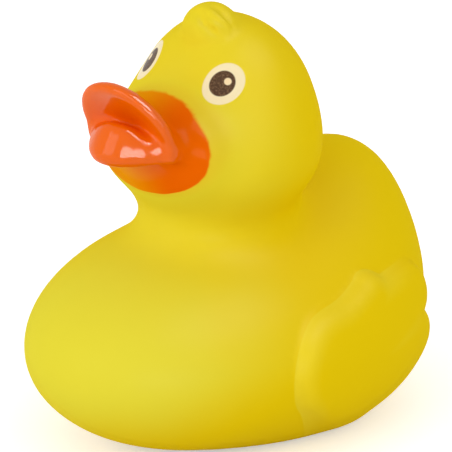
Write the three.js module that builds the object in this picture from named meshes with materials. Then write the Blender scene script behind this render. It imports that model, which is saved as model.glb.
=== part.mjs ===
// A squeezable bath duck, cast in one piece from soft vinyl, with its bill and eyes painted on.
// Millimetres, +Z up. The duck faces -Y and stands on z = 0. Forward and back are measured from the
// middle of the body, heights from the floor, and on the head from the middle of the cheeks.

import * as THREE from 'three';
import { MarchingCubes } from 'three/addons/objects/MarchingCubes.js';
import { mergeVertices } from 'three/addons/utils/BufferGeometryUtils.js';

// Body: an egg lying down, with its underside cut flat
const BODY_WIDTH = 60.9;
const BODY_LENGTH = 80.9;
const BODY_HEIGHT = 41.1;
const BASE_CUT = 2.0;
const BASE_EDGE = 2.4;

// Tail: a second egg that rises from the back of the body
const TAIL_WIDTH = 40.4;
const TAIL_THICKNESS = 29.0;
const TAIL_REACH = 33.2;
const TAIL_BACK = 21.6;
const TAIL_HEIGHT = 16.6;
const TAIL_RISE_DEGREES = 58.8;
const TAIL_BLEND = 22.3;

// Head: a tall crown over wide cheeks, on a short neck
const HEAD_HEIGHT = 54.3;
const CHEEK_WIDTH = 40.2;
const CHEEK_LENGTH = 35.6;
const CHEEK_TALL = 25.7;
const CHEEK_FORWARD = 1.1;
const CROWN_WIDTH = 36.2;
const CROWN_LENGTH = 30.3;
const CROWN_TALL = 38.9;
const CROWN_BACK = 3.2;
const CROWN_HEIGHT = 4.4;
const CHEEK_BLEND = 5.6;
const NECK_WIDTH = 22.3;
const NECK_FOOT_WIDTH = 30.3;
const NECK_BLEND = 6.1;
const SHOULDER_BLEND = 6.8;

// Bill: a rounded muzzle that carries two parted lips
const MUZZLE_WIDTH = 26.8;
const MUZZLE_LENGTH = 10.6;
const MUZZLE_TALL = 17.2;
const MUZZLE_FORWARD = 15.0;
const MUZZLE_HEIGHT = 3.5;
const MUZZLE_BLEND = 5.0;

// Upper lip: a dished flap, turned up at a steep angle
const UPPER_LIP_WIDTH = 21.4;
const UPPER_LIP_REACH = 10.8;
const UPPER_LIP_HEEL = 6.5;
const UPPER_LIP_MIDDLE = 2.5;
const UPPER_LIP_THICKNESS = 2.6;
const UPPER_LIP_DISH = 2.1;
const UPPER_LIP_EDGE = 2.4;
const UPPER_LIP_FORWARD = 21.3;
const UPPER_LIP_HEIGHT = 5.9;
const UPPER_LIP_RISE_DEGREES = 57.2;
const UPPER_LIP_BLEND = 4.0;

// Lower lip: a puffy roll, bowed forward on a thin jaw, that thins out at the corners of the mouth
const LOWER_LIP_WIDTH = 18.4;
const LOWER_LIP_BROAD = 7.4;
const LOWER_LIP_THICKNESS = 5.2;
const LOWER_LIP_CORNER = 1.4;
const LOWER_LIP_BOW = 5.4;
const LOWER_LIP_FORWARD = 21.6;
const LOWER_LIP_HEIGHT = 4.8;
const LOWER_LIP_LIFT = 1.1;
const LOWER_LIP_SLANT_DEGREES = 42;
const LOWER_LIP_BLEND = 2.2;

// Crest: a tuft on the crown, parted into three by two grooves that run out to the left
const CREST_WIDTH = 11.2;
const CREST_LENGTH = 10.6;
const CREST_TALL = 10.6;
const CREST_FORWARD = 0.9;
const CREST_HEIGHT = 21.5;
const CREST_BLEND = 1.2;
const GROOVE_DEPTH = 0.4;
const GROOVE_WIDTH = 2.4;
const GROOVE_FADE = 2.0;
const FIRST_GROOVE_DEGREES = 50;
const FIRST_GROOVE_START = -2.4;
const SECOND_GROOVE_DEGREES = 84;
const SECOND_GROOVE_START = 0.2;

// Wings: low pads on the flanks, round in front and ending in three feather tips behind.
// Their heights are measured round the flank from its widest line.
const WING_LIFT = 2.0;
const WING_FOOT_LIFT = 0.6;
const WING_FADE_FROM = 5;
const WING_FADE_TO = 18;
const WING_EDGE = 4.4;
const WING_CREASE = 0.7;
const LOBE_FORWARD = 0.5;
const LOBE_RADIUS = 11.0;
const BELLY_BACK = 9.5;
const BELLY_HEIGHT = -6.0;
const BELLY_RADIUS = 13.0;
const TOP_TIP_BACK = 12.4;
const TOP_TIP_HEIGHT = 8.9;
const TOP_TIP_RADIUS = 5.0;
const MIDDLE_TIP_BACK = 24.6;
const MIDDLE_TIP_HEIGHT = 6.6;
const MIDDLE_TIP_RADIUS = 6.4;
const LOW_TIP_BACK = 24.2;
const LOW_TIP_HEIGHT = -5.6;
const LOW_TIP_RADIUS = 9.2;
const FEATHER_ROOT_BACK = 2.3;
const FEATHER_ROOT_HEIGHT = 1.2;
const FEATHER_ROOT_RADIUS = 9.3;
const FEATHER_BLEND = 1.6;

// Fineness of the net of triangles that the skin is drawn with
const FIRST_MESH = 1.5;
const FINEST_EDGE = 0.65;
const WIDEST_EDGE = 5;
const CHORD_ERROR = 0.05;

const radians = THREE.MathUtils.degToRad;
const clamp = THREE.MathUtils.clamp;

// Every form below is given by its distance from a point: negative inside, zero on the surface.
// Two forms are joined or cut with a fillet of the given size.
function join(a, b, fillet) {
  const near = Math.max(fillet - Math.abs(a - b), 0);
  return Math.min(a, b) - near * near / (4 * fillet);
}

function cut(a, b, fillet) {
  return -join(-a, -b, fillet);
}

function egg(x, y, z, width, length, tall) {
  const u = 2 * x / width;
  const v = 2 * y / length;
  const w = 2 * z / tall;
  const size = Math.sqrt(u * u + v * v + w * w);
  const slope = 2 * Math.sqrt((u / width) ** 2 + (v / length) ** 2 + (w / tall) ** 2);
  return size * (size - 1) / (slope + 1e-9);
}

function oval(x, y, width, length) {
  return egg(x, y, 0, width, length, 1);
}

// A rounded bar in a flat view, from the circle at one end to the circle at the other
function bar(y, z, from, to) {
  const runY = to.back - from.back;
  const runZ = to.height - from.height;
  const along = (y - from.back) * runY + (z - from.height) * runZ;
  const share = clamp(along / (runY * runY + runZ * runZ), 0, 1);
  const off = Math.hypot(y - from.back - share * runY, z - from.height - share * runZ);
  return off - THREE.MathUtils.lerp(from.radius, to.radius, share);
}

const bodyHeight = BODY_HEIGHT / 2 - BASE_CUT;
const tailRise = radians(TAIL_RISE_DEGREES);

function trunk(x, y, z) {
  const body = egg(x, y, z - bodyHeight, BODY_WIDTH, BODY_LENGTH, BODY_HEIGHT);
  const back = y - TAIL_BACK;
  const up = z - TAIL_HEIGHT;
  const along = back * Math.cos(tailRise) + up * Math.sin(tailRise);
  const across = up * Math.cos(tailRise) - back * Math.sin(tailRise);
  const tail = egg(x, along, across, TAIL_WIDTH, 2 * TAIL_REACH, TAIL_THICKNESS);
  return join(body, tail, TAIL_BLEND);
}

// The wing's outline is drawn flat and wrapped round the flank
const lobe = { back: -LOBE_FORWARD, height: 0, radius: LOBE_RADIUS };
const belly = { back: BELLY_BACK, height: BELLY_HEIGHT, radius: BELLY_RADIUS };
const root = { back: FEATHER_ROOT_BACK, height: FEATHER_ROOT_HEIGHT, radius: FEATHER_ROOT_RADIUS };
const topTip = { back: TOP_TIP_BACK, height: TOP_TIP_HEIGHT, radius: TOP_TIP_RADIUS };
const middleTip = { back: MIDDLE_TIP_BACK, height: MIDDLE_TIP_HEIGHT, radius: MIDDLE_TIP_RADIUS };
const lowTip = { back: LOW_TIP_BACK, height: LOW_TIP_HEIGHT, radius: LOW_TIP_RADIUS };

function wing(x, y, z, flank) {
  const rise = BODY_HEIGHT / 2 * Math.atan2((z - bodyHeight) / BODY_HEIGHT, x / BODY_WIDTH);
  let outline = Math.min(bar(y, rise, lobe, belly), bar(y, rise, belly, lowTip));
  outline = join(outline, bar(y, rise, root, middleTip), FEATHER_BLEND);
  outline = join(outline, bar(y, rise, root, topTip), FEATHER_BLEND);
  const low = THREE.MathUtils.smoothstep(-rise, WING_FADE_FROM, WING_FADE_TO);
  return cut(flank - THREE.MathUtils.lerp(WING_LIFT, WING_FOOT_LIFT, low), outline, WING_EDGE);
}

function head(x, y, up) {
  const crown = egg(x, y - CROWN_BACK, up - CROWN_HEIGHT, CROWN_WIDTH, CROWN_LENGTH, CROWN_TALL);
  const cheeks = egg(x, y + CHEEK_FORWARD, up, CHEEK_WIDTH, CHEEK_LENGTH, CHEEK_TALL);
  const climb = HEAD_HEIGHT - bodyHeight;
  const run = climb * climb + CHEEK_FORWARD * CHEEK_FORWARD;
  const share = clamp(1 + (up * climb - (y + CHEEK_FORWARD) * CHEEK_FORWARD) / run, 0, 1);
  const off = Math.hypot(x, y + share * CHEEK_FORWARD, up + (1 - share) * climb);
  const neck = off - THREE.MathUtils.lerp(NECK_FOOT_WIDTH, NECK_WIDTH, share) / 2;
  return join(join(crown, cheeks, CHEEK_BLEND), neck, NECK_BLEND);
}

function muzzle(x, y, up) {
  return egg(x, y + MUZZLE_FORWARD, up - MUZZLE_HEIGHT, MUZZLE_WIDTH, MUZZLE_LENGTH, MUZZLE_TALL);
}

// The flap is a slice of a hollow ball, trimmed to an oval
const lipRise = radians(UPPER_LIP_RISE_DEGREES);
const dishRadius = ((UPPER_LIP_WIDTH / 2) ** 2 + UPPER_LIP_DISH ** 2) / (2 * UPPER_LIP_DISH);

function upperLip(x, y, up) {
  const ahead = -y - UPPER_LIP_FORWARD;
  const over = up - UPPER_LIP_HEIGHT;
  const along = ahead * Math.cos(lipRise) + over * Math.sin(lipRise);
  const out = ahead * Math.sin(lipRise) - over * Math.cos(lipRise);
  const above = along - UPPER_LIP_MIDDLE;
  const ball = Math.hypot(x, above - 0.2 * UPPER_LIP_REACH, out - dishRadius + UPPER_LIP_DISH) - dishRadius;
  const shell = Math.abs(ball) - UPPER_LIP_THICKNESS / 2;
  const rim = oval(x, above, UPPER_LIP_WIDTH, 2 * (above > 0 ? UPPER_LIP_REACH : UPPER_LIP_HEEL));
  return Math.max(cut(shell, rim, UPPER_LIP_EDGE), out - dishRadius / 2);
}

const lipSlant = radians(LOWER_LIP_SLANT_DEGREES);

function lowerLip(x, y, up) {
  const half = LOWER_LIP_WIDTH / 2;
  const full = 1 - Math.min(x / half, 1) ** 2;
  const broad = THREE.MathUtils.lerp(LOWER_LIP_CORNER, LOWER_LIP_BROAD, full);
  const thick = THREE.MathUtils.lerp(LOWER_LIP_CORNER, LOWER_LIP_THICKNESS, full);
  const ahead = -y - LOWER_LIP_FORWARD - LOWER_LIP_BOW * full;
  const over = up - LOWER_LIP_HEIGHT - LOWER_LIP_LIFT * full;
  const along = ahead * Math.cos(lipSlant) - over * Math.sin(lipSlant);
  const out = ahead * Math.sin(lipSlant) + over * Math.cos(lipSlant);
  const roll = oval(along, out, broad, thick);
  const past = Math.max(x - half, 0);
  const lip = Math.hypot(past, Math.max(roll, 0)) + Math.min(roll, 0);
  const jaw = Math.max(ahead, y + CHEEK_FORWARD, Math.abs(over) - 0.4 * thick, x - half);
  return join(lip, jaw, LOWER_LIP_BLEND);
}

// A groove runs out to the left over the tuft, at an angle up from the tuft's front
function groove(x, angle, start, degrees) {
  const off = (angle - radians(degrees)) * CREST_TALL / GROOVE_WIDTH;
  const depth = GROOVE_DEPTH * THREE.MathUtils.smoothstep(x, start, start + GROOVE_FADE);
  return depth * Math.max(0, 1 - off * off) ** 2;
}

function crest(x, y, up) {
  const ahead = -y - CREST_FORWARD;
  const over = up - CREST_HEIGHT;
  const tuft = egg(x, ahead, over, CREST_WIDTH, CREST_LENGTH, CREST_TALL);
  const angle = Math.atan2(over, ahead);
  const first = groove(x, angle, FIRST_GROOVE_START, FIRST_GROOVE_DEGREES);
  const second = groove(x, angle, SECOND_GROOVE_START, SECOND_GROOVE_DEGREES);
  return tuft + first + second;
}

// The whole outside, the same on the left and the right but for the tuft
function outside(side, y, z) {
  const x = Math.abs(side);
  const up = z - HEAD_HEIGHT;
  const flank = trunk(x, y, z);
  const body = join(flank, wing(x, y, z, flank), WING_CREASE);
  const bill = join(muzzle(x, y, up), upperLip(x, y, up), UPPER_LIP_BLEND);
  const figure = join(join(body, head(x, y, up), SHOULDER_BLEND), bill, MUZZLE_BLEND);
  const duck = join(join(figure, lowerLip(x, y, up), LOWER_LIP_BLEND), crest(side, y, up), CREST_BLEND);
  return cut(duck, -z, BASE_EDGE);
}

function slopeAt(form, p) {
  const reach = 0.02;
  return new THREE.Vector3(
    form(p.x + reach, p.y, p.z) - form(p.x - reach, p.y, p.z),
    form(p.x, p.y + reach, p.z) - form(p.x, p.y - reach, p.z),
    form(p.x, p.y, p.z + reach) - form(p.x, p.y, p.z - reach),
  ).divideScalar(2 * reach);
}

// Move a point straight onto a form's surface
function rest(form, point) {
  for (let pass = 0; pass < 3; pass += 1) {
    const slope = slopeAt(form, point);
    const step = clamp(form(point.x, point.y, point.z) / slope.lengthSq(), -1, 1);
    point.addScaledVector(slope, -step);
  }
  return point;
}

const vinyl = new THREE.MeshStandardMaterial({ color: 0xe1c810, roughness: 0.5, metalness: 0 });

// A net over a form's surface: knots that each know their place, the way out and the triangles round them
let knotsMade = 0;
function makeKnot(form, point) {
  rest(form, point);
  knotsMade += 1;
  return { id: knotsMade, point, normal: slopeAt(form, point).normalize(), faces: new Set(), edge: 0 };
}

function addFace(...corners) {
  corners.forEach((knot) => knot.faces.add(corners));
}

function drawNet(form, room, step) {
  const centre = room.getCenter(new THREE.Vector3());
  const size = room.getSize(new THREE.Vector3());
  const count = Math.ceil(Math.max(size.x, size.y, size.z) / step) + 6;
  const cubes = new MarchingCubes(count, vinyl, false, false, 6 * count * count);
  const place = (n) => (n - count / 2) * step;
  for (let k = 0; k < count; k += 1) {
    for (let j = 0; j < count; j += 1) {
      for (let i = 0; i < count; i += 1) {
        const gap = form(centre.x + place(i), centre.y + place(j), centre.z + place(k));
        cubes.setCell(i, j, k, gap < 0 ? Math.max(-gap, step / 40) : Math.min(-gap, -step / 40));
      }
    }
  }
  cubes.isolation = 0;
  cubes.update();
  const drawn = new THREE.BufferGeometry();
  drawn.setAttribute('position', new THREE.BufferAttribute(cubes.positionArray.slice(0, 3 * cubes.count), 3));
  const { index, attributes } = mergeVertices(drawn, 1 / (200 * count));
  const knots = [];
  for (let n = 0; n < attributes.position.count; n += 1) {
    const point = new THREE.Vector3().fromBufferAttribute(attributes.position, n);
    knots.push(makeKnot(form, point.multiplyScalar(step * count / 2).add(centre)));
  }
  for (let n = 0; n < index.count; n += 3) {
    addFace(knots[index.getX(n)], knots[index.getX(n + 1)], knots[index.getX(n + 2)]);
  }
  return knots;
}

function neighbours(knot) {
  const found = new Set();
  for (const face of knot.faces) {
    face.forEach((corner) => found.add(corner));
  }
  found.delete(knot);
  return found;
}

function apart(a, b) {
  return a.point.distanceTo(b.point);
}

function facing(a, b, c) {
  const side = new THREE.Vector3().subVectors(b, a);
  return side.cross(new THREE.Vector3().subVectors(c, a)).normalize();
}

// The triangle that runs from one knot to the next in that order, and its third corner
function faceAlong(from, to) {
  for (const face of from.faces) {
    if (face[(face.indexOf(from) + 1) % 3] === to) {
      return face;
    }
  }
  return null;
}

function tipOf(face, a, b) {
  return face.find((corner) => corner !== a && corner !== b);
}

// Every edge of the net once, with its length as a share of the length it may have
function edgesOf(knots) {
  const edges = [];
  for (const a of knots) {
    for (const face of a.faces) {
      const b = face[(face.indexOf(a) + 1) % 3];
      if (a.id < b.id) {
        edges.push({ a, b, share: 2 * apart(a, b) / (a.edge + b.edge) });
      }
    }
  }
  return edges;
}

// The length an edge may have at each knot, so that the net keeps close to the form
function setEdges(knots) {
  for (const knot of knots) {
    let bend = 0;
    for (const other of neighbours(knot)) {
      bend = Math.max(bend, knot.normal.angleTo(other.normal) / apart(knot, other));
    }
    knot.edge = clamp(Math.sqrt(8 * CHORD_ERROR / (bend + 1e-6)), FINEST_EDGE, WIDEST_EDGE);
  }
  for (let pass = 0; pass < 3; pass += 1) {
    for (const knot of knots) {
      for (const other of neighbours(knot)) {
        knot.edge = Math.min(knot.edge, other.edge + 0.4 * apart(knot, other));
      }
    }
  }
}

// Part the edges that are too long
function partLongEdges(knots, form) {
  const long = edgesOf(knots).filter(({ share }) => share > 1.4);
  long.sort((one, two) => two.share - one.share);
  for (const { a, b } of long) {
    const near = faceAlong(a, b);
    const far = faceAlong(b, a);
    const middle = makeKnot(form, a.point.clone().lerp(b.point, 0.5));
    middle.edge = (a.edge + b.edge) / 2;
    for (const [face, from, to] of [[near, a, b], [far, b, a]]) {
      const tip = tipOf(face, a, b);
      to.faces.delete(face);
      face[face.indexOf(to)] = middle;
      middle.faces.add(face);
      addFace(middle, to, tip);
    }
    knots.push(middle);
  }
}

// Close up the edges that are shorter than they need to be
function closeShortEdges(knots, form) {
  const short = edgesOf(knots).filter(({ share }) => share < 0.75);
  short.sort((one, two) => one.share - two.share);
  for (const { a, b } of short) {
    const goal = (a.edge + b.edge) / 2;
    const around = neighbours(a);
    const beyond = neighbours(b);
    const shared = [...around].filter((knot) => beyond.has(knot));
    if (!around.has(b) || shared.length !== 2 || apart(a, b) > 0.75 * goal) {
      continue;
    }
    const middle = rest(form, a.point.clone().lerp(b.point, 0.5));
    const kept = [...a.faces, ...b.faces].filter((face) => !(face.includes(a) && face.includes(b)));
    const spoilt = kept.some((face) => {
      const before = facing(...face.map((knot) => knot.point));
      const after = facing(...face.map((knot) => (knot === a || knot === b ? middle : knot.point)));
      return after.dot(before) < 0.8;
    });
    const stretched = [...around, ...beyond].some((knot) => knot.point.distanceTo(middle) > 1.35 * knot.edge);
    if (spoilt || stretched) {
      continue;
    }
    for (const face of [faceAlong(a, b), faceAlong(b, a)]) {
      face.forEach((knot) => knot.faces.delete(face));
    }
    for (const face of b.faces) {
      face[face.indexOf(b)] = a;
      a.faces.add(face);
    }
    b.faces.clear();
    a.point.copy(middle);
    a.normal.copy(slopeAt(form, middle).normalize());
    a.edge = goal;
  }
  return knots.filter((knot) => knot.faces.size > 0);
}

// Turn an edge across its two triangles where that makes them less slender
function turnEdges(knots) {
  for (const { a, b } of edgesOf(knots)) {
    const near = faceAlong(a, b);
    const far = faceAlong(b, a);
    if (near === null || far === null) {
      continue;
    }
    const c = tipOf(near, a, b);
    const d = tipOf(far, a, b);
    const angle = (tip) => a.point.clone().sub(tip.point).angleTo(b.point.clone().sub(tip.point));
    if (angle(c) + angle(d) < Math.PI + 0.02 || neighbours(c).has(d)) {
      continue;
    }
    const normal = facing(a.point, b.point, c.point).add(facing(b.point, a.point, d.point)).normalize();
    const one = facing(a.point, d.point, c.point);
    const two = facing(d.point, b.point, c.point);
    if (one.dot(normal) < 0.7 || two.dot(normal) < 0.7) {
      continue;
    }
    b.faces.delete(near);
    a.faces.delete(far);
    near.splice(0, 3, a, d, c);
    far.splice(0, 3, d, b, c);
    d.faces.add(near);
    c.faces.add(far);
  }
}

// Even the knots out along the surface
function evenOut(knots, form) {
  const goals = knots.map((knot) => {
    const mean = new THREE.Vector3();
    const around = neighbours(knot);
    around.forEach((other) => mean.add(other.point));
    const shift = mean.divideScalar(around.size).sub(knot.point);
    shift.addScaledVector(knot.normal, -shift.dot(knot.normal));
    return rest(form, knot.point.clone().addScaledVector(shift, 0.5));
  });
  knots.forEach((knot, n) => {
    knot.point.copy(goals[n]);
    knot.normal.copy(slopeAt(form, goals[n]).normalize());
  });
}

function fitNet(drawn, form) {
  let knots = drawn;
  for (let round = 0; round < 4; round += 1) {
    setEdges(knots);
    partLongEdges(knots, form);
    knots = closeShortEdges(knots, form);
    turnEdges(knots);
    evenOut(knots, form);
    turnEdges(knots);
    evenOut(knots, form);
  }
  return knots;
}

// Room for the whole duck
const halfWidth = Math.max(BODY_WIDTH, TAIL_WIDTH, CROWN_WIDTH, CHEEK_WIDTH) / 2 + WING_LIFT;
const front = -Math.max(BODY_LENGTH / 2, UPPER_LIP_FORWARD + UPPER_LIP_REACH);
const rear = Math.max(BODY_LENGTH / 2, TAIL_BACK + TAIL_REACH, CROWN_BACK + CROWN_LENGTH / 2);
const top = HEAD_HEIGHT + Math.max(CREST_HEIGHT + CREST_TALL / 2, CROWN_HEIGHT + CROWN_TALL / 2);
const room = new THREE.Box3(new THREE.Vector3(-halfWidth, front, 0), new THREE.Vector3(halfWidth, rear, top));

const skin = fitNet(drawNet(outside, room, FIRST_MESH), outside);

// The finished duck, centred over the origin
const order = new Map(skin.map((knot, n) => [knot, n]));
const faces = new Set(skin.flatMap((knot) => [...knot.faces]));
const figure = new THREE.BufferGeometry();
figure.setFromPoints(skin.map((knot) => knot.point));
figure.setIndex([...faces].flatMap((face) => face.map((knot) => order.get(knot))));
figure.computeBoundingBox();
const middle = figure.boundingBox.getCenter(new THREE.Vector3());
figure.translate(-middle.x, -middle.y, -figure.boundingBox.min.z);
figure.computeVertexNormals();

const mesh = new THREE.Mesh(figure, vinyl);
mesh.name = 'duck';

const group = new THREE.Group();
group.add(mesh);

export default group;
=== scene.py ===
import math

import bmesh
import bpy
from bpy.props import FloatProperty, FloatVectorProperty, IntProperty, PointerProperty
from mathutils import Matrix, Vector


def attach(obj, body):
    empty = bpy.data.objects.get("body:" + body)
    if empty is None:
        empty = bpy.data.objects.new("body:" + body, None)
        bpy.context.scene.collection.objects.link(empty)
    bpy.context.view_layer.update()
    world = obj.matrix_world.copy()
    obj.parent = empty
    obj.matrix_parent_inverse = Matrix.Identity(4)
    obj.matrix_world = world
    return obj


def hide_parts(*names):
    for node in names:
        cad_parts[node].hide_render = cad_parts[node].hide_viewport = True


bl_info = {
    "name": "Squeezable Toy Duck",
    "version": (1, 0, 0),
    "blender": (4, 5, 0),
    "location": "3D View > Sidebar > Toy Duck",
    "description": "Dresses a moulded vinyl bath duck and sets it on a plain studio floor",
    "category": "Object",
}

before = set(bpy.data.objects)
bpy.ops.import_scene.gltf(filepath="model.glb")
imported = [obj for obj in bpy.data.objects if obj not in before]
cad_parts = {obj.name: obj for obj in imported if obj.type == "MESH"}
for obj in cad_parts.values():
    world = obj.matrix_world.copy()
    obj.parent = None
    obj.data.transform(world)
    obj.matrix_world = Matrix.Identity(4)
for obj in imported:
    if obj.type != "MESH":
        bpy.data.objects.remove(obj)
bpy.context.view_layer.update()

MM = 0.001

# Points of the moulded net that are closer than this are one
MERGE_GAP = 0.01 * MM

# Where the lower lip's dome rises and ends, in millimetres, and how its faces have to lie
DOME_AHEAD = (25.9, 28.6)
DOME_FOOT = (60.0, 63.0)
DOME_TOP = (64.2, 65.4)
DOME_LEFT = 1.2
DOME_HALF_WIDTH = (2.0, 6.6)
DOME_FACING = (-0.3, 0.2)
DOME_SMOOTHINGS = 3

# Heights over which the tuft's grooves come in
FIRST_GROOVE_FADE = (0, 1.5 * MM)
SECOND_GROOVE_FADE = (2 * MM, 3.4 * MM)

# The wing's lift starts above the base, and the painted sheen on its rim fades low down and towards
# the tips
LIFT_FADE = (2 * MM, 8 * MM)
RIM_EDGE = 0.2 * MM
RIM_LOW_SHARE = 0.25
RIM_LOW_FADE = (-18 * MM, -8 * MM)
RIM_BACK_FADE = (12 * MM, 24 * MM)

# The golden yellow is painted shade and the lemon painted light: the clouds, the lean, and how the
# foot and the flanks bring the painted shade forward
CLOUD_SIZE = 14 * MM
CLOUD_DRIFT = 10 * MM
LEAN_HEIGHT = 30 * MM
LEAN = 0.2
FOOT_SHADE_PULL = 1.5
FLANK_SHADE_PULL = 0.2
GRAIN_DEPTH = 0.2 * MM

# The spray on the bill and the ink of the eyes
MASK_JOIN = 1 * MM
WANDER_SIZE = 2.2 * MM
THIN_FADE = 1.5 * MM
MIST_COVER = 0.2
INK_GROUND = (-5, -3)
FLECK_RANGE = (0.4, 0.75)
PRINT_FULL = 0.9

# The stage
LAMP_AIM = (0, 0, 40 * MM)
WARM_WHITE = (1, 0.97, 0.93)
FLOOR_ROUGHNESS = 0.9
NEAREST_SEEN = 10 * MM


def screen(red, green, blue):
    """A colour as a screen shows it, 0 to 255 a channel, turned into the light it stands for."""
    levels = (channel / 255 for channel in (red, green, blue))
    return tuple(c / 12.92 if c <= 0.04045 else ((c + 0.055) / 1.055) ** 2.4 for c in levels)


def length(name, description, millimetres):
    """A size in millimetres, kept as the metres that the scene is in."""
    return FloatProperty(name=name, description=description, default=millimetres * MM, min=0,
                         unit="LENGTH", precision=5)


def place(name, description, millimetres):
    """A point in millimetres, kept as the metres that the scene is in."""
    return FloatVectorProperty(name=name, description=description, subtype="XYZ", unit="LENGTH",
                               size=3, precision=5, default=[v * MM for v in millimetres])


def sheet(name, description, wide, high):
    """A lamp's width and height in millimetres, kept as the metres that the scene is in."""
    return FloatVectorProperty(name=name, description=description, unit="LENGTH", size=2,
                               min=0, precision=5, default=(wide * MM, high * MM))


def direction(name, description, default):
    """The way that something points."""
    return FloatVectorProperty(name=name, description=description, subtype="DIRECTION", size=3,
                               default=default)


def colour(name, description, red, green, blue):
    """A paint colour, written as a screen shows it."""
    return FloatVectorProperty(name=name, description=description, subtype="COLOR", size=3,
                               min=0, max=1, default=screen(red, green, blue))


def amount(name, description, default, most=1.0):
    """A plain share or strength."""
    return FloatProperty(name=name, description=description, default=default, min=0, max=most,
                         subtype="FACTOR")


def power(name, description, watts):
    """A lamp's power."""
    return FloatProperty(name=name, description=description, default=watts, min=0, unit="POWER")


class ToyDuckSkin(bpy.types.PropertyGroup):
    """The moulded vinyl skin."""
    fineness: IntProperty(
        name="Fineness", description="How many times the moulded net is split and rounded",
        default=1, min=0, max=1, subtype="UNSIGNED")
    # Lemon and golden yellow are lit and shaded copies of the one vinyl, painted light and painted
    # shade; breast, back and foot say where the painted shade comes in
    vinyl: colour("Vinyl", "The lemon yellow of the breast and the face", 221, 208, 54)
    painted_shade_vinyl: colour("Deep vinyl", "The golden yellow of the thicker back", 230, 198, 2)
    # Painted sheen: a pale lemon on the wings' rims
    painted_sheen_vinyl: colour("Pale vinyl", "The pale lemon of the wings' rims", 232, 213, 56)
    breast: length("Breast", "How far ahead of the middle the lemon yellow deepens", 34.0)
    back: length("Back", "How far behind the middle the golden yellow is full", 4.0)
    foot: length("Foot", "Height under which the golden yellow comes forward", 22.0)
    shine: amount("Vinyl shine", "How strongly the bare vinyl reflects", 0.05)
    shine_roughness: amount("Vinyl roughness", "How soft the bare vinyl's reflections are", 0.42)
    grain: length("Grain", "The size of the fine grain left by the mould", 0.35)
    grain_strength: amount("Grain strength", "How far the grain shows", 0.04)


class ToyDuckWing(bpy.types.PropertyGroup):
    """The wing's outline on the flank; each round is its radius, how far back and how high."""
    body_middle: length("Body middle", "Height that the outline is measured from", 18.55)
    body_width: length("Body width", "Width of the body that the wing is wrapped round", 60.9)
    body_height: length("Body height", "Height of the body that the wing is wrapped round", 41.1)
    lobe: place("Front lobe", "The round front of the wing", (10.4, -3.9, -0.4))
    belly: place("Belly", "The round under side of the wing", (12.6, 6.5, -9.5))
    root: place("Feather root", "Where the feathers spring from", (9.3, -0.47, 1.2))
    top_tip: place("Top tip", "The tip of the top feather", (5.0, 9.63, 8.9))
    middle_tip: place("Middle tip", "The tip of the middle feather", (6.4, 21.83, 6.6))
    low_tip: place("Low tip", "The tip of the low feather", (9.2, 21.43, -5.6))
    lobe_blend: length("Lobe blend", "How far the lobe and the top feather run together", 5.0)
    tip_blend: length("Tip blend", "How far the feathers run together", 0.5)
    rim: length("Rim", "How wide the wing's rounded rim is", 4.4)
    rim_lift: length("Rim lift", "How far the rim is lifted off the flank", 0.3)
    rim_crisp: length("Crisp foot", "How far the fine relief sharpens the rim's foot", 0.2)
    # Painted sheen: how far the pale lemon shows on the rim's foot
    rim_painted_sheen: amount("Pale rim", "How far the pale lemon shows on the rim", 0.5)


class ToyDuckTuft(bpy.types.PropertyGroup):
    """The two grooves that run out of the tuft on its left."""
    middle: place("Tuft middle", "The middle that the grooves turn about", (0, -3.67, 75.8))
    radius: length("Tuft radius", "How far the grooves are from that middle", 4.9)
    start: length("Groove start", "How far to the left the grooves are full", 1.5)
    width: length("Groove width", "Half the width of a groove", 1.4)
    depth: length("Groove depth", "How deep the grooves are cut", 1.1)
    first: FloatProperty(name="First groove", description="How far round the first groove starts",
                         default=math.radians(46), subtype="ANGLE", unit="ROTATION")
    slant: FloatProperty(name="Slant", description="How far the first groove turns down on its way",
                         default=math.radians(33), subtype="ANGLE", unit="ROTATION")
    second_share: amount("Second share", "How deep the second groove is beside the first", 0.3)
    second: FloatProperty(name="Second groove", description="How far round the second groove is",
                          default=math.radians(80), subtype="ANGLE", unit="ROTATION")


class ToyDuckBill(bpy.types.PropertyGroup):
    """The sprayed paint on the bill."""
    paint: colour("Bill paint", "The orange sprayed on the bill", 230, 97, 0)
    thin_paint: colour("Thin bill paint", "The orange where the spray is thin", 230, 146, 2)
    gloss: amount("Lip gloss", "How much clear gloss lies over the lips", 0.42)
    satin: amount("Muzzle gloss", "How much clear gloss lies over the rest of the paint", 0.02)
    gloss_start: length("Gloss start", "How far ahead of the middle the gloss starts", 22.5)
    gloss_full: length("Gloss full", "How far ahead of the middle the gloss is full", 25.0)
    gloss_roughness: amount("Gloss roughness", "How soft the gloss's reflections are", 0.09)
    paint_roughness: amount("Paint roughness", "How soft the paint under the gloss is", 0.3)
    middle_height: length("Mask height", "How high the middle of the spray mask is", 58.4)
    half_width: length("Mask half width", "Half the width of the mask's hole", 13.5)
    half_height: length("Mask half height", "Half the height of the mask's hole", 8.68)
    flare: amount("Mask flare", "How much the mask's hole widens downwards", 0.12)
    reach: length("Mask reach", "How far ahead of the middle the hole starts to count", 12.0)
    lip_front: length("Lip front", "How far ahead of the middle all is painted", 20.5)
    lip_foot: length("Lip foot", "Height over which the lips stand out of the mask", 62.0)
    edge: length("Spray edge", "How far the spray fades at the mask's edge", 0.12)
    wander: length("Edge wander", "How far the spray's edge strays", 0.3)
    mist: length("Mist", "How far the faint mist of paint reaches past the edge", 1.4)
    thin_right: length("Thin right", "How far to the right the spray is thinnest", 4.5)
    thin_reach: length("Thin reach", "How far to the side the thin paint goes", 12.0)
    thin_front: length("Thin front", "How far ahead of the middle the paint is full", 24.5)
    lip_dome: length("Lip dome", "How far the lower lip's top swells up", 1.4)


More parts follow.
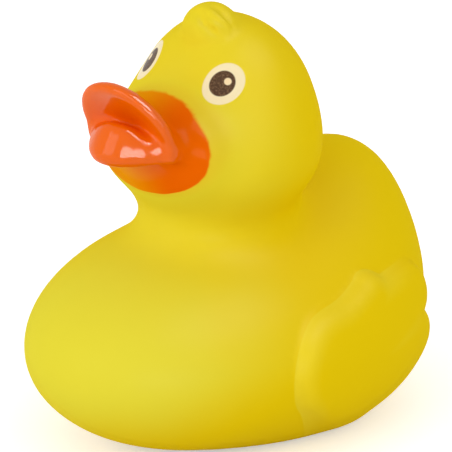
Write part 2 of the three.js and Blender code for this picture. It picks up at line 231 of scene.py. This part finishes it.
class ToyDuckEyes(bpy.types.PropertyGroup):
    """The pair of printed eyes."""
    white: colour("Eye white", "The cream ground of the eye", 240, 224, 178)
    pupil: colour("Pupil", "The dark brown of the pupil", 76, 50, 26)
    fleck: colour("Fleck", "The paler brown of the flecks in the pupil", 112, 84, 54)
    glint: colour("Glint", "The cream dot in the pupil", 240, 216, 168)
    gloss: amount("Eye gloss", "How much clear gloss lies over the ink", 0.5)
    left: place("Left eye", "Where the left eye sits", (8.85, -10.26, 69.0))
    left_outward: direction("Left outward", "The way the left eye looks", (0.437, -0.698, 0.567))
    left_long: direction("Left long way", "The way the left eye's long axis runs",
                         (0.287, 0.727, 0.624))
    right: place("Right eye", "Where the right eye sits", (-10.54, -8.8, 69.33))
    right_outward: direction("Right outward", "The way the right eye looks",
                             (-0.535, -0.633, 0.559))
    right_long: direction("Right long way", "The way the right eye's long axis runs",
                          (0.228, 0.548, 0.805))
    long: length("Eye length", "The eye's longer axis", 8.5)
    short: length("Eye breadth", "The eye's shorter axis", 7.0)
    pupil_shift: place("Pupil shift", "How far the left pupil is off the middle",
                       (-0.2, -0.09, 0.05))
    pupil_long: length("Pupil length", "The pupil's longer axis", 5.1)
    pupil_short: length("Pupil breadth", "The pupil's shorter axis", 4.5)
    glint_shift: place("Glint shift", "How far the left glint is off the middle",
                       (0.49, 0.64, 0.4))
    glint_size: length("Glint size", "The glint's width", 1.35)
    fleck_size: length("Fleck size", "The size of the flecks in the pupil", 0.35)
    reach: length("Print reach", "How deep the print pad follows the head's curve", 4.0)
    edge: length("Print edge", "How soft the ink's edge is", 0.12)


class ToyDuckStage(bpy.types.PropertyGroup):
    """The floor, the lamps and the camera."""
    floor: colour("Floor", "The pale floor", 240, 240, 240)
    floor_size: length("Floor size", "How wide the floor is", 6000)
    floor_glow: amount("Floor glow", "Light added where the floor is seen, to whiten it", 0.42)
    surround: amount("Surround", "How bright the white room is on the duck", 0.78, 2)
    key: power("Key lamp", "Power of the large lamp in front of the duck", 2.0)
    key_place: place("Key place", "Where the large lamp hangs", (-150, -720, 330))
    key_size: sheet("Key size", "How wide and high that lamp is", 500, 500)
    fill: power("Fill lamp", "Power of the lamp on the right", 0.55)
    fill_place: place("Fill place", "Where the lamp on the right hangs", (560, -60, 330))
    fill_size: sheet("Fill size", "How wide and high that lamp is", 400, 400)
    side_card: power("Side card", "Power of the card that gives the wing its sheen", 1.5)
    side_place: place("Side card place", "Where that card stands", (560, -30, 340))
    side_size: sheet("Side card size", "How wide and high that card is", 400, 400)
    top_card: power("Top card", "Power of the card that shines in the lip's top", 12.0)
    top_place: place("Top card place", "Where that card hangs", (265, 45, 585))
    top_size: sheet("Top card size", "How wide and high that card is", 480, 360)
    low_card: power("Low card", "Power of the card that shines in the lip's front", 6.6)
    low_place: place("Low card place", "Where that card stands", (440, -500, 90))
    low_size: sheet("Low card size", "How wide and high that card is", 360, 380)
    aim: place("Aim", "The point that the camera looks at", (2.76, -2.71, 38.47))
    turn: FloatProperty(name="Turn", description="How far round to the duck's left the camera is",
                        default=math.radians(41.62), subtype="ANGLE", unit="ROTATION")
    rise: FloatProperty(name="Rise", description="How far above level the camera is",
                        default=math.radians(20.18), subtype="ANGLE", unit="ROTATION")
    distance: length("Distance", "How far the camera is from its aim", 520)
    lens: FloatProperty(name="Lens", description="The camera's focal length in millimetres",
                        default=223.65, min=1, unit="CAMERA")


class Shade:
    """A value in a material that can be reckoned with like a number."""

    def __init__(self, tree, socket):
        self.tree = tree
        self.socket = socket

    def make(self, kind, settings=None, inputs=None, output=0):
        """Adds a node: its settings first, then the values or links of its sockets."""
        node = self.tree.nodes.new(kind)
        for setting, value in (settings or {}).items():
            setattr(node, setting, value)
        for key, value in (inputs or {}).items():
            if isinstance(key, int):
                socket = node.inputs[key]
            else:
                socket = next(s for s in node.inputs if s.name == key and s.enabled)
            if isinstance(value, Shade):
                self.tree.links.new(value.socket, socket)
            else:
                socket.default_value = value
        if isinstance(output, int):
            return Shade(self.tree, node.outputs[output])
        return Shade(self.tree, next(s for s in node.outputs if s.name == output and s.enabled))

    def beside(self, output):
        """Another output of the node that this value comes from."""
        return Shade(self.tree, self.socket.node.outputs[output])

    def split(self):
        """The three lengths of this place: to the left, back and up."""
        side = self.make("ShaderNodeSeparateXYZ", {}, {"Vector": self}, "X")
        return side, side.beside("Y"), side.beside("Z")

    def reckon(self, operation, *values):
        """One step of arithmetic on values."""
        return self.make("ShaderNodeMath", {"operation": operation}, dict(enumerate(values)))

    def __add__(self, other):
        return self.reckon("ADD", self, other)

    def __radd__(self, other):
        return self.reckon("ADD", other, self)

    def __sub__(self, other):
        return self.reckon("SUBTRACT", self, other)

    def __rsub__(self, other):
        return self.reckon("SUBTRACT", other, self)

    def __mul__(self, other):
        return self.reckon("MULTIPLY", self, other)

    def __rmul__(self, other):
        return self.reckon("MULTIPLY", other, self)

    def __truediv__(self, other):
        return self.reckon("DIVIDE", self, other)

    def __rtruediv__(self, other):
        return self.reckon("DIVIDE", other, self)

    def __pow__(self, other):
        return self.reckon("POWER", self, other)

    def __neg__(self):
        return self.reckon("MULTIPLY", self, -1)

    def __abs__(self):
        return self.reckon("ABSOLUTE", self)

    def most(self, other):
        return self.reckon("MAXIMUM", self, other)

    def least(self, other):
        return self.reckon("MINIMUM", self, other)

    def step(self, start, end):
        """Rises smoothly from 0 at start to 1 at end."""
        return self.make("ShaderNodeMapRange", {"interpolation_type": "SMOOTHSTEP"},
                         {"Value": self, "From Min": start, "From Max": end})

    def blend(self, below, above):
        """Colour below where this mask is 0, colour above where it is 1."""
        return self.make("ShaderNodeMix", {"data_type": "RGBA"},
                         {"Factor": self, "A": below, "B": above}, "Result")

    def vector(self, operation, *values, output="Vector"):
        """One step of vector arithmetic."""
        return self.make("ShaderNodeVectorMath", {"operation": operation},
                         dict(enumerate(values)), output)

    def along(self, middle, way):
        """How far this place is from a middle, measured along a way."""
        offset = self.vector("SUBTRACT", self, tuple(middle))
        return offset.vector("DOT_PRODUCT", offset, tuple(way), output="Value")

    def noise(self, size, detail=2.0):
        """Cloudy noise around 0.5, with blotches about that size, on this place."""
        return self.make("ShaderNodeTexNoise", {},
                         {"Vector": self, "Scale": 1 / size, "Detail": detail}, "Fac")


def opaque(rgb):
    """A colour with full cover, as a colour socket takes it."""
    return (*rgb, 1.0)


def new_material(name):
    """An empty material with its shader and the place on the piece."""
    material = bpy.data.materials.new(name)
    material.use_nodes = True
    tree = material.node_tree
    spot = Shade(tree, None).make("ShaderNodeTexCoord", {}, {}, "Object")
    return material, tree.nodes["Principled BSDF"], spot


def bill_mask(spot, bill):
    """How far inside the sprayed patch of the bill a place is, in metres."""
    side, back, height = spot.split()
    up = height - bill.middle_height
    # the mask's hole is an oval that widens downwards
    across = side / (bill.half_width - up * bill.flare)
    over = up / bill.half_height
    hole = (1 - (across * across + over * over) ** 0.5) * bill.half_height
    hole = hole.least(-bill.reach - back)
    # the lips stand out through the hole and are painted all round
    lips = (-bill.lip_front - back).least(height - bill.lip_foot)
    joined = hole.reckon("SMOOTH_MAX", hole, lips, MASK_JOIN)
    return joined + (spot.noise(WANDER_SIZE) - 0.5) * bill.wander


def thin_mask(spot, bill):
    """Where the paint lies thin, in the shade that the lips throw on the spray."""
    side, back, _ = spot.split()
    near = 1 - abs(side + bill.thin_right).step(0, bill.thin_reach)
    return near * (back + bill.thin_front).step(-THIN_FADE, THIN_FADE)


def wing_bars(wing):
    """The rounded bars that join the wing's lobe, each with how far it runs together."""
    return ((wing.root, wing.top_tip, wing.lobe_blend), (wing.belly, wing.low_tip, 0.0),
            (wing.root, wing.middle_tip, wing.tip_blend))


def bar_gap(back, rise, start, end):
    """How far a place on the flank is outside a rounded bar between two rounds."""
    run_back, run_rise = end[1] - start[1], end[2] - start[2]
    off_back, off_rise = back - start[1], rise - start[2]
    along = off_back * run_back + off_rise * run_rise
    share = (along / (run_back ** 2 + run_rise ** 2)).most(0).least(1)
    off_back, off_rise = off_back - share * run_back, off_rise - share * run_rise
    radius = share * (end[0] - start[0]) + start[0]
    return (off_back * off_back + off_rise * off_rise) ** 0.5 - radius


def wing_rim(spot, wing):
    """The wing's rim: its height, up to 1 on the panel, and how near its crisp foot is, where the
    painted sheen lies.
    """
    side, back, height = spot.split()
    over = (height - wing.body_middle) / wing.body_height
    rise = over.reckon("ARCTAN2", over, abs(side) / wing.body_width) * (wing.body_height / 2)
    gap = bar_gap(back, rise, wing.lobe, wing.belly)
    for start, end, blend in wing_bars(wing):
        gap = gap.reckon("SMOOTH_MIN", gap, bar_gap(back, rise, start, end), blend)
    fall = 1 - (-gap / wing.rim).most(0).least(1)
    foot = fall * (-gap).step(0, RIM_EDGE)
    foot = foot * (RIM_LOW_SHARE + (1 - RIM_LOW_SHARE) * rise.step(*RIM_LOW_FADE))
    foot = foot * (1 - back.step(*RIM_BACK_FADE))
    return 1 - fall * fall, foot


def oval_mask(spot, middle, ways, long, short, edge):
    """A printed oval on the skin, seen square on."""
    u = spot.along(middle, ways[0]) / (long / 2)
    v = spot.along(middle, ways[1]) / (short / 2)
    soft = edge / short * 2
    return 1 - ((u * u + v * v) ** 0.5).step(1 - soft, 1 + soft)


def eye_print(spot, eyes, middle, outward, long_way, mirror):
    """The white, the pupil and the glint of one eye."""
    middle, outward, long_way = Vector(middle), Vector(outward).normalized(), Vector(long_way)
    long_way = (long_way - outward * long_way.dot(outward)).normalized()
    ways = long_way, outward.cross(long_way)
    reach = 1 - abs(spot.along(middle, outward)).step(PRINT_FULL * eyes.reach, eyes.reach)
    ovals = ((Vector(), eyes.long, eyes.short),
             (Vector(eyes.pupil_shift), eyes.pupil_long, eyes.pupil_short),
             (Vector(eyes.glint_shift), eyes.glint_size, eyes.glint_size))
    masks = []
    for shift, long, short in ovals:
        shift.x *= mirror
        masks.append(reach * oval_mask(spot, middle + shift, ways, long, short, eyes.edge))
    return masks


def painted_vinyl(skin, wing, bill, eyes):
    """Satin yellow vinyl, lemon as painted light and golden as painted shade, with a painted sheen
    on the wings' rims, a sprayed glossy bill and printed eyes.
    """
    material, bare, spot = new_material("painted_vinyl")
    clouds = spot.noise(CLOUD_SIZE, 1)
    inside = bill_mask(spot, bill)
    paint = inside.step(-bill.edge, bill.edge)
    left = eye_print(spot, eyes, eyes.left, eyes.left_outward, eyes.left_long, 1)
    right = eye_print(spot, eyes, eyes.right, eyes.right_outward, eyes.right_long, -1)
    white, pupil, glint = (one.most(other) for one, other in zip(left, right))

    side, back, height = spot.split()
    # Painted shade: golden yellow towards the back, low down and on the flanks, and lemon as
    # painted light on the breast and face
    depth = back - (height - LEAN_HEIGHT) * LEAN + (clouds - 0.5) * CLOUD_DRIFT
    depth = depth + (skin.foot - height).most(0) * FOOT_SHADE_PULL + abs(side) * FLANK_SHADE_PULL
    yellow = depth.step(-skin.breast, skin.back).blend(
        opaque(skin.vinyl), opaque(skin.painted_shade_vinyl))
    mist = inside.step(-bill.mist, bill.edge) * MIST_COVER
    yellow = mist.blend(yellow, opaque(bill.thin_paint))
    rise, foot = wing_rim(spot, wing)
    # Painted sheen: pale lemon along the foot of the wing's rim
    yellow = (foot * wing.rim_painted_sheen).blend(yellow, opaque(skin.painted_sheen_vinyl))
    grain = spot.noise(skin.grain)
    rim = spot.make("ShaderNodeBump", {}, {
        "Strength": 1.0, "Distance": wing.rim_crisp, "Height": rise}, "Normal")
    bump = spot.make("ShaderNodeBump", {}, {
        "Strength": skin.grain_strength, "Distance": GRAIN_DEPTH, "Height": grain, "Normal": rim},
        "Normal")
    for socket, value in (("Base Color", yellow), ("Normal", bump)):
        spot.tree.links.new(value.socket, bare.inputs[socket])
    bare.inputs["Roughness"].default_value = skin.shine_roughness
    bare.inputs["Specular IOR Level"].default_value = 0.0
    bare.inputs["Coat Weight"].default_value = skin.shine
    bare.inputs["Coat Roughness"].default_value = skin.shine_roughness

    orange = thin_mask(spot, bill).blend(opaque(bill.paint), opaque(bill.thin_paint))
    # well outside the spray the ink's ground is the eye white
    ground = (edges * bill.edge for edges in INK_GROUND)
    ink = inside.step(*ground).blend(opaque(eyes.white), orange)
    flecks = spot.noise(eyes.fleck_size).step(*FLECK_RANGE)
    ink = pupil.blend(ink, flecks.blend(opaque(eyes.pupil), opaque(eyes.fleck)))
    ink = glint.blend(ink, opaque(eyes.glint))
    lips = (-back).step(bill.gloss_start, bill.gloss_full)
    gloss = paint * (lips * (bill.gloss - bill.satin) + bill.satin) + white * eyes.gloss
    coated = spot.make("ShaderNodeBsdfPrincipled", {}, {
        "Base Color": ink, "Roughness": bill.paint_roughness, "Specular IOR Level": 0.0,
        "Coat Weight": gloss, "Coat Roughness": bill.gloss_roughness})
    shown = spot.make("ShaderNodeMixShader", {}, {
        0: paint.most(white), 1: Shade(spot.tree, bare.outputs["BSDF"]), 2: coated})
    spot.tree.links.new(shown.socket, spot.tree.nodes["Material Output"].inputs["Surface"])
    return material


def link(name, mesh):
    """Puts a mesh in the scene as an object at the origin."""
    piece = bpy.data.objects.new(name, mesh)
    bpy.context.scene.collection.objects.link(piece)
    return piece


def ease(value, start, end):
    """Rises smoothly from 0 at start to 1 at end."""
    share = min(1, max(0, (value - start) / (end - start)))
    return share * share * (3 - 2 * share)


def swell_lip(form, bill):
    """Swells the top of the lower lip into a low dome, which hides the mouth's corner."""
    form.normal_update()
    moved = []
    for vert in form.verts:
        side, ahead, height = vert.co.x / MM, -vert.co.y / MM, vert.co.z / MM
        share = ease(ahead, *DOME_AHEAD) * ease(height, *DOME_FOOT) * (1 - ease(height, *DOME_TOP))
        share *= 1 - ease(abs(side - DOME_LEFT), *DOME_HALF_WIDTH)
        share *= ease(vert.normal.z, *DOME_FACING)
        if share:
            moved.append((vert, share * bill.lip_dome))
    for vert, rise in moved:
        vert.co.z += rise
    for _ in range(DOME_SMOOTHINGS):
        bmesh.ops.smooth_vert(form, verts=[vert for vert, _ in moved], factor=0.5,
                              use_axis_x=True, use_axis_y=True, use_axis_z=True)


def bar_distance(back, rise, start, end):
    """How far one point of the flank is outside a rounded bar between two rounds."""
    run_back, run_rise = end[1] - start[1], end[2] - start[2]
    along = (back - start[1]) * run_back + (rise - start[2]) * run_rise
    share = min(1, max(0, along / (run_back ** 2 + run_rise ** 2)))
    off = math.hypot(back - start[1] - share * run_back, rise - start[2] - share * run_rise)
    return off - (start[0] + share * (end[0] - start[0]))


def smooth_least(one, other, blend):
    """The smaller of two values, rounded where they are close."""
    near = max(blend - abs(one - other), 0) / blend if blend else 0
    return min(one, other) - near ** 3 * blend / 6


def lift_rim(form, wing):
    """Lifts the wings off the flanks along the outline that the photo shows."""
    form.normal_update()
    moved = []
    for vert in form.verts:
        side, back, height = vert.co
        over = (height - wing.body_middle) / wing.body_height
        rise = math.atan2(over, abs(side) / wing.body_width) * wing.body_height / 2
        gap = bar_distance(back, rise, wing.lobe, wing.belly)
        for start, end, blend in wing_bars(wing):
            gap = smooth_least(gap, bar_distance(back, rise, start, end), blend)
        fall = 1 - min(1, max(0, -gap / wing.rim))
        share = (1 - fall * fall) * ease(height, *LIFT_FADE)
        if share:
            moved.append((vert, vert.normal * (share * wing.rim_lift)))
    for vert, shift in moved:
        vert.co += shift


def cut_grooves(form, tuft):
    """Cuts the tuft's two grooves a little deeper on its left, where they run out."""
    form.normal_update()
    moved = []
    for vert in form.verts:
        side, back, over = vert.co - Vector(tuft.middle)
        if over < 0 or max(abs(side), abs(back)) > 2 * tuft.radius:
            continue
        angle = math.atan2(over, -back)
        first = abs(angle - tuft.first + side / tuft.radius * tuft.slant) * tuft.radius
        first = (1 - ease(first, 0, tuft.width)) * ease(over, *FIRST_GROOVE_FADE)
        second = abs(angle - tuft.second) * tuft.radius
        second = (1 - ease(second, 0, tuft.width)) * ease(over, *SECOND_GROOVE_FADE)
        share = max(first, second * tuft.second_share) * ease(side, -tuft.start, tuft.start)
        if share:
            moved.append((vert, share * tuft.depth))
    for vert, depth in moved:
        vert.co -= vert.normal * depth


class TOYDUCK_OT_skin(bpy.types.Operator):
    """Make the duck's one-piece skin, with its sprayed bill and printed eyes"""
    bl_idname = "toyduck.skin"
    bl_label = "Moulded Skin"

    def execute(self, context):
        settings = context.scene.toyduck_skin
        form = bmesh.new()
        form.from_mesh(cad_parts["duck"].data)
        bmesh.ops.remove_doubles(form, verts=form.verts, dist=MERGE_GAP)
        if any(not edge.is_manifold for edge in form.edges):
            raise RuntimeError("the merged skin isn't closed")
        swell_lip(form, context.scene.toyduck_bill)
        cut_grooves(form, context.scene.toyduck_tuft)
        lift_rim(form, context.scene.toyduck_wing)
        for face in form.faces:
            face.smooth = True
        mesh = bpy.data.meshes.new("duck_skin")
        form.to_mesh(mesh)
        form.free()
        mesh.materials.append(painted_vinyl(
            settings, context.scene.toyduck_wing, context.scene.toyduck_bill,
            context.scene.toyduck_eyes))
        piece = link("duck_skin", mesh)
        rounding = piece.modifiers.new("rounding", "SUBSURF")
        rounding.levels = settings.fineness
        rounding.render_levels = settings.fineness
        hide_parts("duck")
        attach(piece, "root")
        return {"FINISHED"}


def seen(spot):
    """1 for rays that come from the camera, a reflection or clear stuff, 0 for the others."""
    path = spot.make("ShaderNodeLightPath", {}, {}, "Is Camera Ray")
    return (path + path.beside("Is Glossy Ray") + path.beside("Is Transmission Ray")).least(1)


def floor_material(stage):
    """A matt pale floor that is seen as white, with the duck's shadow kept on it."""
    material, shader, spot = new_material("pale_floor")
    shader.inputs["Base Color"].default_value = opaque(stage.floor)
    shader.inputs["Roughness"].default_value = FLOOR_ROUGHNESS
    shader.inputs["Specular IOR Level"].default_value = 0.0
    plain = Shade(spot.tree, shader.outputs["BSDF"])
    glow = spot.make("ShaderNodeEmission", {}, {"Strength": stage.floor_glow})
    lit = spot.make("ShaderNodeAddShader", {}, {0: plain, 1: glow})
    shown = spot.make("ShaderNodeMixShader", {}, {0: seen(spot), 1: plain, 2: lit})
    spot.tree.links.new(shown.socket, spot.tree.nodes["Material Output"].inputs["Surface"])
    return material


def white_room(stage):
    """A white room that lights the duck softly and is white where it is seen."""
    world = bpy.data.worlds.new("white_room")
    world.use_nodes = True
    tree = world.node_tree
    start = Shade(tree, None)
    white = (1, 1, 1, 1)
    light = start.make("ShaderNodeBackground", {}, {"Color": white, "Strength": stage.surround})
    sight = start.make("ShaderNodeBackground", {}, {"Color": white, "Strength": 1})
    shown = start.make("ShaderNodeMixShader", {}, {0: seen(start), 1: light, 2: sight})
    tree.links.new(shown.socket, tree.nodes["World Output"].inputs["Surface"])
    bpy.context.scene.world = world


def soft_lamp(name, spot, size, watts, tint=(1, 1, 1), shine_only=False):
    """A rectangular soft lamp that looks at the duck, or one that is only mirrored in it."""
    light = bpy.data.lights.new(name, "AREA")
    light.shape = "RECTANGLE"
    light.size, light.size_y = size
    light.energy = watts
    light.color = tint
    lamp = link(name, light)
    lamp.location = spot
    ray = Vector(LAMP_AIM) - lamp.location
    lamp.rotation_euler = ray.to_track_quat("-Z", "Y").to_euler()
    lamp.visible_diffuse = not shine_only


class TOYDUCK_OT_stage(bpy.types.Operator):
    """Set up the pale floor, the soft lamps, the white room and the camera"""
    bl_idname = "toyduck.stage"
    bl_label = "Studio Stage"

    def execute(self, context):
        stage = context.scene.toyduck_stage
        ground = bmesh.new()
        bmesh.ops.create_grid(ground, x_segments=1, y_segments=1, size=stage.floor_size / 2)
        mesh = bpy.data.meshes.new("floor")
        ground.to_mesh(mesh)
        ground.free()
        mesh.materials.append(floor_material(stage))
        link("floor", mesh)
        white_room(stage)
        soft_lamp("key_lamp", stage.key_place, stage.key_size, stage.key)
        soft_lamp("fill_lamp", stage.fill_place, stage.fill_size, stage.fill, WARM_WHITE)
        soft_lamp("side_card", stage.side_place, stage.side_size, stage.side_card, shine_only=True)
        soft_lamp("top_card", stage.top_place, stage.top_size, stage.top_card, shine_only=True)
        soft_lamp("low_card", stage.low_place, stage.low_size, stage.low_card, shine_only=True)
        camera = bpy.data.cameras.new("camera")
        camera.lens = stage.lens
        camera.clip_start = NEAREST_SEEN
        eye = link("camera", camera)
        back = Vector((math.sin(stage.turn) * math.cos(stage.rise),
                       -math.cos(stage.turn) * math.cos(stage.rise), math.sin(stage.rise)))
        eye.location = Vector(stage.aim) + back * stage.distance
        eye.rotation_euler = (-back).to_track_quat("-Z", "Y").to_euler()
        context.scene.camera = eye
        context.scene.view_settings.view_transform = "Standard"
        return {"FINISHED"}


class TOYDUCK_PT_panel(bpy.types.Panel):
    """The pieces of the toy duck"""
    bl_idname = "TOYDUCK_PT_panel"
    bl_label = "Toy Duck"
    bl_space_type = "VIEW_3D"
    bl_region_type = "UI"
    bl_category = "Toy Duck"

    def draw(self, context):
        for operator, groups in PANEL_ROWS:
            self.layout.operator(operator.bl_idname)
            for name in groups:
                settings = getattr(context.scene, name)
                for setting in settings.__annotations__:
                    self.layout.prop(settings, setting)


SETTINGS = {
    "toyduck_skin": ToyDuckSkin,
    "toyduck_wing": ToyDuckWing,
    "toyduck_tuft": ToyDuckTuft,
    "toyduck_bill": ToyDuckBill,
    "toyduck_eyes": ToyDuckEyes,
    "toyduck_stage": ToyDuckStage,
}
PANEL_ROWS = (
    (TOYDUCK_OT_skin,
     ("toyduck_skin", "toyduck_wing", "toyduck_tuft", "toyduck_bill", "toyduck_eyes")),
    (TOYDUCK_OT_stage, ("toyduck_stage",)),
)
CLASSES = (*SETTINGS.values(), TOYDUCK_OT_skin, TOYDUCK_OT_stage, TOYDUCK_PT_panel)


def register():
    for cls in CLASSES:
        bpy.utils.register_class(cls)
    for name, group in SETTINGS.items():
        setattr(bpy.types.Scene, name, PointerProperty(type=group))


def unregister():
    for name in SETTINGS:
        delattr(bpy.types.Scene, name)
    for cls in reversed(CLASSES):
        bpy.utils.unregister_class(cls)


def main():
    register()
    bpy.ops.toyduck.skin()
    bpy.ops.toyduck.stage()


if __name__ == "__main__":
    main()
